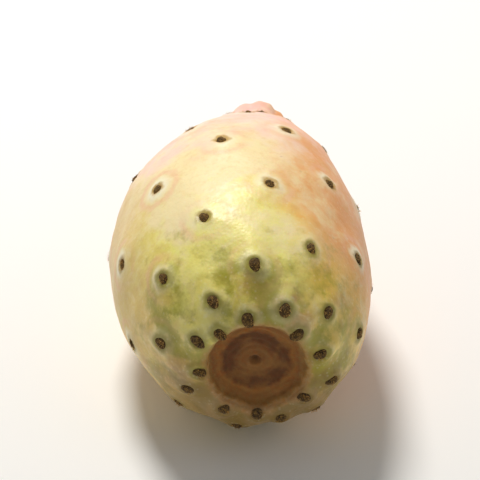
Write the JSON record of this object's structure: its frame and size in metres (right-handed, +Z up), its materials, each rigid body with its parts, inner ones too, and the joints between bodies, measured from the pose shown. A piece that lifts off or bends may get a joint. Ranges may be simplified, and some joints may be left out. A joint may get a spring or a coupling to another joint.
{
  "type": "prickly pear fruit",
  "caption": "Oval cactus fruit lying on its side, with a dished flower scar at its crown, low tubercles in a spiral and a short folded neck.",
  "frame": {"origin": "centre of the bounding box at the level of the surface that the fruit lies on", "axes": "+Z up, the fruit's long axis along Y with the crown at -Y and the stem end at +Y, +X to the right when facing the crown from behind"},
  "size_m": [0.0508, 0.0824, 0.0482],
  "materials": {
    "skin": "waxy skin, cream yellow to green at the crown, blushed orange and pink",
    "areoles": "short brown felt and bristles",
    "scars": "dry corky scar tissue"
  },
  "bodies": {
    "root": {"fruit": "skin"}
  },
  "joints": []
}
